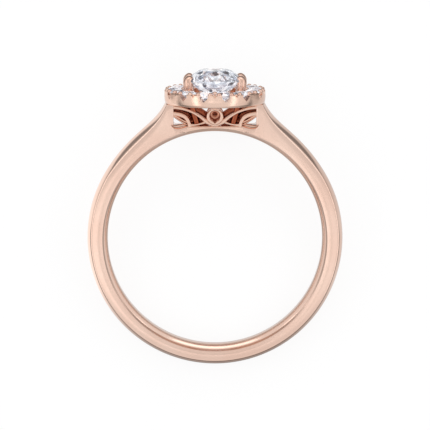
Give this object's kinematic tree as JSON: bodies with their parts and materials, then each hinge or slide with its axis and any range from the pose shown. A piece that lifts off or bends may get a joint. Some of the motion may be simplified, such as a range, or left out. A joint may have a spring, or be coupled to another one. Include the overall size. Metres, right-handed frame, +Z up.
{
  "type": "halo ring",
  "caption": "Rose gold finger ring with a round faceted centre stone in prongs, a halo of small stones, a pierced gallery and raised shoulders, lying on its side.",
  "frame": {"origin": "middle of the footprint, on the surface that the ring lies on", "axes": "+Z up from the surface, +Y from the foot of the band towards the head, X across the finger hole"},
  "size_m": [0.0206, 0.0238, 0.0081],
  "materials": {
    "rose_gold": "polished rose gold",
    "clear_stone": "cut and polished, colourless"
  },
  "bodies": {
    "root": {"setting": "rose_gold", "center_stone": "clear_stone", "halo_stone_1": "clear_stone", "halo_stone_2": "clear_stone", "halo_stone_3": "clear_stone", "halo_stone_4": "clear_stone", "halo_stone_5": "clear_stone", "halo_stone_6": "clear_stone", "halo_stone_7": "clear_stone", "halo_stone_8": "clear_stone", "halo_stone_9": "clear_stone", "halo_stone_10": "clear_stone", "halo_stone_11": "clear_stone", "halo_stone_12": "clear_stone", "halo_stone_13": "clear_stone", "halo_stone_14": "clear_stone"}
  },
  "joints": []
}
